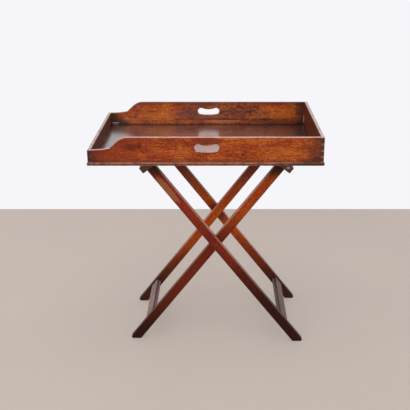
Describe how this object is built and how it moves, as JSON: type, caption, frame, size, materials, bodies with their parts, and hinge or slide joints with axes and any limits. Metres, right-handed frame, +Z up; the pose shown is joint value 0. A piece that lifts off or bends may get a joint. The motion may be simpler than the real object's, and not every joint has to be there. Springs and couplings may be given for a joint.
{
  "type": "butlers tray table",
  "caption": "Dovetailed wooden serving tray with a low end and kidney hand holes, resting on a folding X-frame stand held open by webbing straps.",
  "frame": {"origin": "on the floor under the middle of the tray", "axes": "+Z up, +X along the tray from its low end to its high end, +Y from the front to the back"},
  "size_m": [0.848, 0.558, 0.876],
  "materials": {
    "tray_base_wood": "french polished mahogany, dark and glossy",
    "tray_board_wood": "french polished mahogany, orange brown",
    "stand_wood": "polished mahogany, red brown",
    "screw_steel": "aged steel",
    "pivot_iron": "dark wrought iron, filed flush",
    "tack_steel": "blued steel",
    "webbing": "woven jute webbing"
  },
  "bodies": {
    "outer_frame": {"outer_front_leg": "stand_wood", "outer_rear_leg": "stand_wood", "outer_top_rail": "stand_wood", "outer_stretcher": "stand_wood", "front_pivot_pin": "pivot_iron", "rear_pivot_pin": "pivot_iron", "front_spacer_washer": "pivot_iron", "rear_spacer_washer": "pivot_iron", "outer_strap_tacks": "tack_steel", "front_strap": "webbing", "rear_strap": "webbing"},
    "inner_frame": {"inner_front_leg": "stand_wood", "inner_rear_leg": "stand_wood", "inner_top_rail": "stand_wood", "inner_stretcher": "stand_wood", "inner_strap_tacks": "tack_steel"},
    "tray": {"tray_base": "tray_base_wood", "front_board": "tray_board_wood", "back_board": "tray_board_wood", "low_end_board": "tray_board_wood", "high_end_board": "tray_board_wood", "base_screws": "screw_steel"}
  },
  "joints": [
    {"name": "stand_fold", "type": "hinge", "parent": "outer_frame", "child": "inner_frame", "pos_m": [0.038, 0, 0.425], "axis": [0, -1, 0], "range_deg": [0, 66.5], "deforming": ["front_strap", "rear_strap"]},
    {"name": "tray_lift", "type": "slide", "parent": "outer_frame", "child": "tray", "axis": [0, 0, 1], "range_m": [0, 0.303]}
  ],
  "couplings": [
    {"joint": "tray_lift", "follows": "stand_fold", "m_per_rad": 0.26}
  ]
}
